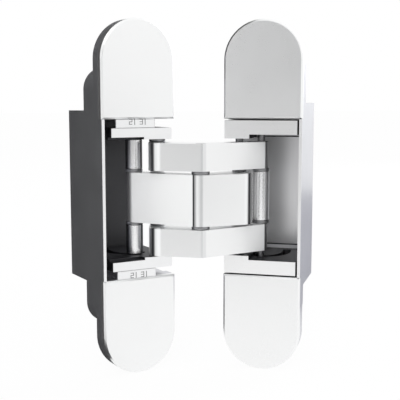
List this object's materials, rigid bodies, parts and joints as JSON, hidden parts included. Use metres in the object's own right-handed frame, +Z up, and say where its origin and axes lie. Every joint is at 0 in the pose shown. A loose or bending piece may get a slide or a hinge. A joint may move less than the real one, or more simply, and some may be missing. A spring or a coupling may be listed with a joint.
{
  "type": "concealed door hinge",
  "caption": "Concealed door hinge for flush doors: rounded mortise casings with cover caps, joined by crossing links that fold into the casings as the door closes.",
  "frame": {"origin": "on the plane of the back of the frame side leaf's flange, at the middle of the leaf's width and height", "axes": "+X across the frame side leaf towards the door side leaf, +Y into the frame's wood, +Z up along the leaf"},
  "size_m": [0.0749, 0.052, 0.111],
  "materials": {
    "satin_zinc": "satin grey powder coat on zinc casting",
    "cover_cap": "satin chrome",
    "link_metal": "satin chrome on zinc",
    "cradle_metal": "satin chrome on zinc",
    "pin_steel": "ground steel",
    "steel_screw": "zinc plated steel"
  },
  "bodies": {
    "left_leaf": {"left_casing": "satin_zinc", "left_cap_top": "cover_cap", "left_cap_bottom": "cover_cap", "left_block_top": "cradle_metal", "left_block_bottom": "cradle_metal", "left_clamp_screws": "steel_screw"},
    "left_cradle": {"left_cradle_top": "cradle_metal", "left_cradle_bottom": "cradle_metal", "left_fixed_pins": "pin_steel", "left_fixed_washers": "pin_steel"},
    "narrow_links": {"narrow_link_top": "link_metal", "narrow_link_bottom": "link_metal", "centre_pin": "pin_steel", "centre_washers": "pin_steel", "right_slide_pin": "pin_steel", "right_slide_sleeve": "pin_steel", "right_slide_washers": "pin_steel"},
    "wide_arm": {"wide_link": "link_metal", "left_slide_pin": "pin_steel", "left_slide_washers": "pin_steel", "left_slide_sleeves": "pin_steel"},
    "right_cradle": {"right_fixed_pin": "pin_steel", "right_fixed_washers": "pin_steel", "right_cradle_top": "cradle_metal", "right_cradle_bottom": "cradle_metal"},
    "right_leaf": {"right_casing": "satin_zinc", "right_cap_top": "cover_cap", "right_cap_bottom": "cover_cap", "right_clamp_screws": "steel_screw"}
  },
  "joints": [
    {"name": "left_depth_adjust", "type": "slide", "parent": "left_leaf", "child": "left_cradle", "axis": [0, 1, 0], "range_m": [-0.0005, 0.0005]},
    {"name": "door_fold", "type": "hinge", "parent": "left_cradle", "child": "narrow_links", "pos_m": [0.0093, -0.0002, 0], "axis": [0, 0, 1], "range_deg": [-88.24, 29.7]},
    {"name": "centre_turn", "type": "hinge", "parent": "narrow_links", "child": "wide_arm", "pos_m": [0.01566, -0.01696, 0], "axis": [0, 0, 1], "range_deg": [-14.49, 43.03]},
    {"name": "door_leaf_turn", "type": "hinge", "parent": "wide_arm", "child": "right_cradle", "pos_m": [0.03316, -0.01175, 0], "axis": [0, 0, 1], "range_deg": [-89.46, 30.12]},
    {"name": "right_side_adjust", "type": "slide", "parent": "right_cradle", "child": "right_leaf", "axis": [0.703, -0.7112, 0], "range_m": [-0.0005, 0.0005]}
  ],
  "couplings": [
    {"joint": "centre_turn", "follows": "door_fold", "ratio": -0.48753},
    {"joint": "door_leaf_turn", "follows": "door_fold", "ratio": 1.0137}
  ]
}
